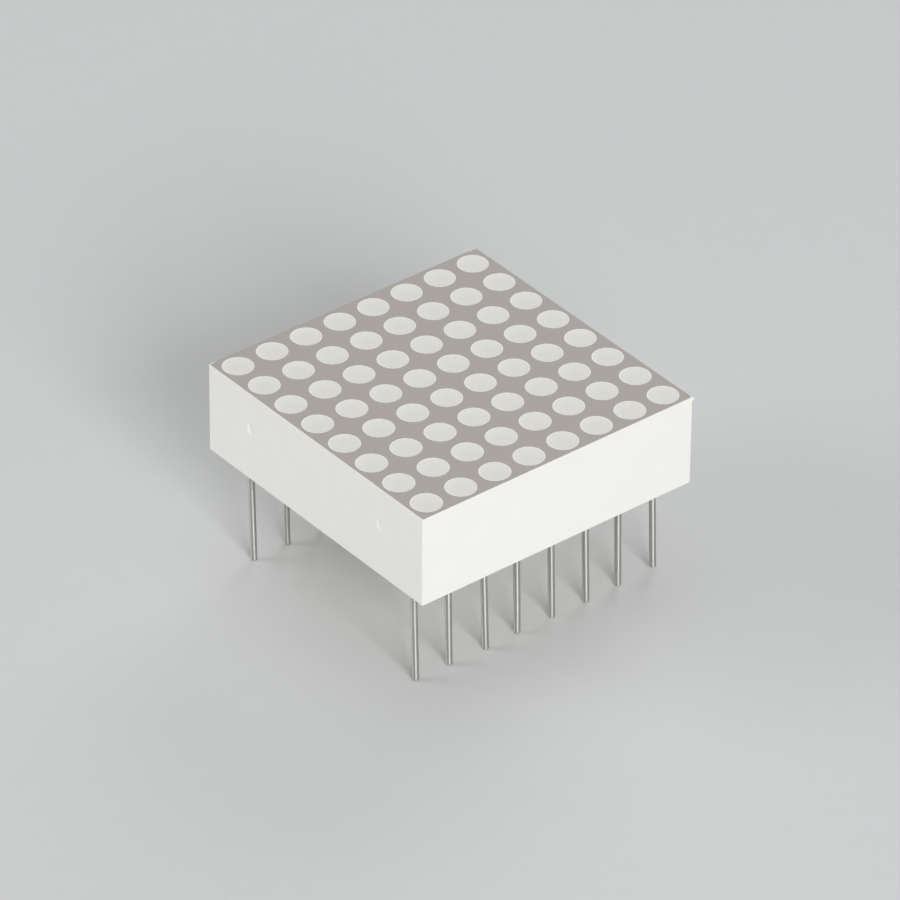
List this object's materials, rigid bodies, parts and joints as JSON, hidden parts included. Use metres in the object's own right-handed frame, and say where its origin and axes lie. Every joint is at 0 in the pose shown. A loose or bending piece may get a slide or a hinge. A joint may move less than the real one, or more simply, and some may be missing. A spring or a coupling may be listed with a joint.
{
  "type": "led dot matrix",
  "caption": "Square LED dot matrix display with a grid of round milky windows in a white moulded case, standing on rows of straight wire pins.",
  "frame": {"origin": "below the middle of the case, in the plane of the pin tips", "axes": "+X along the pin rows, +Y from one pin row to the other, +Z out of the dot face"},
  "size_m": [0.02, 0.02, 0.0131],
  "materials": {
    "case_plastic": "satin moulded white polycarbonate",
    "window_resin": "milky diffusing epoxy",
    "board_laminate": "green solder mask on glass epoxy laminate",
    "potting_resin": "poured milky epoxy",
    "led_die": "diced semiconductor with a metal contact",
    "tinned_wire": "drawn and tinned"
  },
  "bodies": {
    "root": {"case": "case_plastic", "dot_windows": "window_resin", "circuit_board": "board_laminate", "back_potting": "potting_resin", "led_dice_row_1": "led_die", "led_dice_row_2": "led_die", "led_dice_row_3": "led_die", "led_dice_row_4": "led_die", "led_dice_row_5": "led_die", "led_dice_row_6": "led_die", "led_dice_row_7": "led_die", "led_dice_row_8": "led_die", "pin_01": "tinned_wire", "pin_02": "tinned_wire", "pin_03": "tinned_wire", "pin_04": "tinned_wire", "pin_05": "tinned_wire", "pin_06": "tinned_wire", "pin_07": "tinned_wire", "pin_08": "tinned_wire", "pin_09": "tinned_wire", "pin_10": "tinned_wire", "pin_11": "tinned_wire", "pin_12": "tinned_wire", "pin_13": "tinned_wire", "pin_14": "tinned_wire", "pin_15": "tinned_wire", "pin_16": "tinned_wire"}
  },
  "joints": []
}
